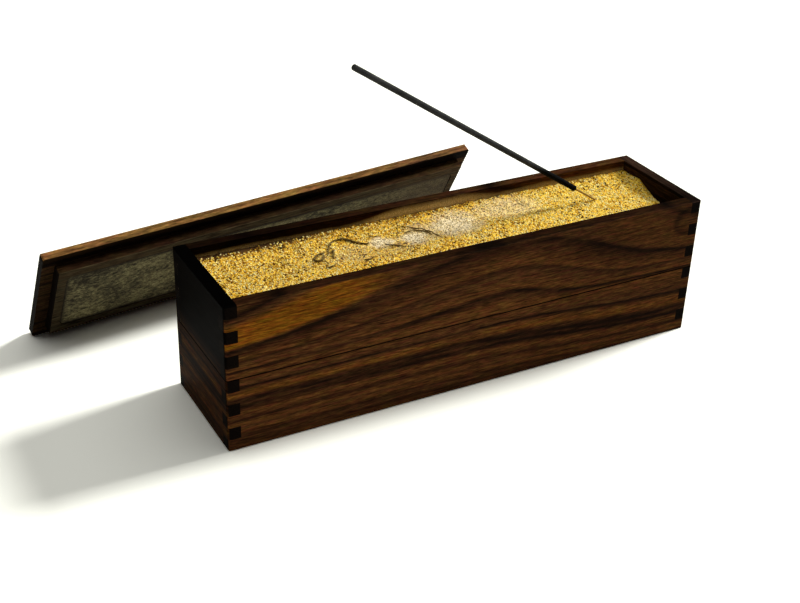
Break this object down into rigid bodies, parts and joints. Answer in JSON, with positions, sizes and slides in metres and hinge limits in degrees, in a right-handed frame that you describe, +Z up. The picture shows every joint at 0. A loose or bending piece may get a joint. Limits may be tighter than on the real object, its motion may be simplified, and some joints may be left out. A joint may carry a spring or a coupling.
{
  "type": "incense box",
  "caption": "Long walnut incense box with finger-jointed corners: a sand tray nests on a storage box, a stick leans in the sand and the slate-lined lid stands behind.",
  "frame": {"origin": "middle of the storage box's underside, on the surface that it stands on", "axes": "+X along the box to the right, +Y to its back, +Z up"},
  "size_m": [0.3177, 0.1773, 0.1627],
  "materials": {
    "walnut_face": "oiled satin",
    "walnut_end": "oiled satin",
    "walnut_floor": "oiled satin",
    "slate": "natural cleft",
    "sand": "loose coarse grains",
    "incense": "matt pressed powder",
    "bamboo": "raw split"
  },
  "bodies": {
    "storage_box": {"storage_front": "walnut_face", "storage_back": "walnut_face", "storage_left": "walnut_end", "storage_right": "walnut_end", "storage_floor": "walnut_floor"},
    "sand_tray": {"tray_front": "walnut_face", "tray_back": "walnut_face", "tray_left": "walnut_end", "tray_right": "walnut_end", "tray_floor": "walnut_floor", "sand_bed": "sand"},
    "lid": {"lid_board": "walnut_face", "slate_tile": "slate"},
    "incense_stick": {"bamboo_core": "bamboo", "incense_coat": "incense"}
  },
  "joints": [
    {"name": "tray_lift", "type": "slide", "parent": "storage_box", "child": "sand_tray", "axis": [0, 0, 1], "range_m": [0, 0.08]},
    {"name": "stick_pull", "type": "slide", "parent": "sand_tray", "child": "incense_stick", "axis": [-0.8387, 0, 0.5446], "range_m": [0, 0.06]},
    {"name": "lid_lift", "type": "slide", "parent": "storage_box", "child": "lid", "axis": [0, 0, 1], "range_m": [0, 0.1]}
  ]
}
